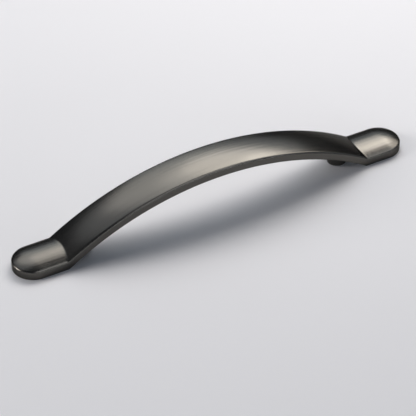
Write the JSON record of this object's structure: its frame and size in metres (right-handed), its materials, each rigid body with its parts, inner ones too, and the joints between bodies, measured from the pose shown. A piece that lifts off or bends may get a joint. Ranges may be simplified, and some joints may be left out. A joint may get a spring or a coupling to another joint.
{
  "type": "bow handle",
  "caption": "Arched bow handle for drawers and cabinet doors: a crowned strip between two domed tongue-shaped feet, with a tapped screw boss under each end.",
  "frame": {"origin": "middle of the handle on the plane of its feet, which is the drawer front it is screwed to", "axes": "+X along the handle through both screw holes, +Y across it, +Z away from the drawer front"},
  "size_m": [0.192, 0.0192, 0.0267],
  "materials": {
    "gunmetal_plated_zinc": "satin, brushed along the bow, dark gunmetal plate"
  },
  "bodies": {
    "root": {"bow_handle": "gunmetal_plated_zinc"}
  },
  "joints": []
}
